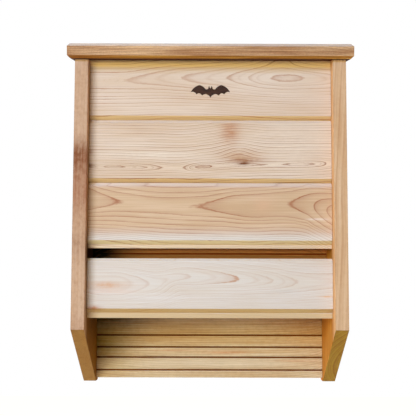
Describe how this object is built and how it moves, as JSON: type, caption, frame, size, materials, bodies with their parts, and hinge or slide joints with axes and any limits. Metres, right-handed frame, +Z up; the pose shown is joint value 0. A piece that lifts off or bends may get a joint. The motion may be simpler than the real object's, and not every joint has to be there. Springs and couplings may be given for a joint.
{
  "type": "bat house",
  "caption": "Shallow wall-hung cedar bat house: sloping chamfered roof, tongue-and-groove front with a vent slot, inner baffle, open bottom and a grooved landing board.",
  "frame": {"origin": "centre of the middle back board's rear face, on the wall plane", "axes": "+Z up, +Y into the wall (the front faces -Y), +X to the house's right as seen from the front"},
  "size_m": [0.3694, 0.1515, 0.4697],
  "materials": {
    "side_cedar": "planed, unfinished",
    "roof_cedar": "planed, unfinished",
    "face_cedar": "planed, unfinished",
    "tan_cedar": "planed, unfinished",
    "pale_cedar": "planed, unfinished",
    "back_cedar": "planed, grooved with a saw",
    "baffle_cedar": "planed, grooved with a saw",
    "screw_steel": "dull zinc"
  },
  "bodies": {
    "root": {"side_left": "side_cedar", "side_right": "side_cedar", "roof": "roof_cedar", "front_board_1": "face_cedar", "front_board_2": "face_cedar", "front_board_3": "tan_cedar", "lower_front_board": "pale_cedar", "landing_board": "back_cedar", "back_board_middle": "back_cedar", "back_board_top": "back_cedar", "baffle_board_lower": "baffle_cedar", "baffle_board_upper": "baffle_cedar", "screw_front_board_1_left_upper": "screw_steel", "screw_front_board_1_left_lower": "screw_steel", "screw_front_board_1_right_upper": "screw_steel", "screw_front_board_1_right_lower": "screw_steel", "screw_front_board_2_left_upper": "screw_steel", "screw_front_board_2_left_lower": "screw_steel", "screw_front_board_2_right_upper": "screw_steel", "screw_front_board_2_right_lower": "screw_steel", "screw_front_board_3_left_upper": "screw_steel", "screw_front_board_3_left_lower": "screw_steel", "screw_front_board_3_right_upper": "screw_steel", "screw_front_board_3_right_lower": "screw_steel", "screw_lower_front_board_left_upper": "screw_steel", "screw_lower_front_board_left_lower": "screw_steel", "screw_lower_front_board_right_upper": "screw_steel", "screw_lower_front_board_right_lower": "screw_steel", "screw_landing_board_left_upper": "screw_steel", "screw_landing_board_left_lower": "screw_steel", "screw_landing_board_right_upper": "screw_steel", "screw_landing_board_right_lower": "screw_steel", "screw_back_board_middle_left_upper": "screw_steel", "screw_back_board_middle_left_lower": "screw_steel", "screw_back_board_middle_right_upper": "screw_steel", "screw_back_board_middle_right_lower": "screw_steel", "screw_back_board_top_left_upper": "screw_steel", "screw_back_board_top_left_lower": "screw_steel", "screw_back_board_top_right_upper": "screw_steel", "screw_back_board_top_right_lower": "screw_steel", "screw_baffle_board_lower_left_upper": "screw_steel", "screw_baffle_board_lower_left_lower": "screw_steel", "screw_baffle_board_lower_right_upper": "screw_steel", "screw_baffle_board_lower_right_lower": "screw_steel", "screw_baffle_board_upper_left_upper": "screw_steel", "screw_baffle_board_upper_left_lower": "screw_steel", "screw_baffle_board_upper_right_upper": "screw_steel", "screw_baffle_board_upper_right_lower": "screw_steel", "screw_roof_left_front": "screw_steel", "screw_roof_left_middle": "screw_steel", "screw_roof_left_rear": "screw_steel", "screw_roof_right_front": "screw_steel", "screw_roof_right_middle": "screw_steel", "screw_roof_right_rear": "screw_steel"}
  },
  "joints": []
}
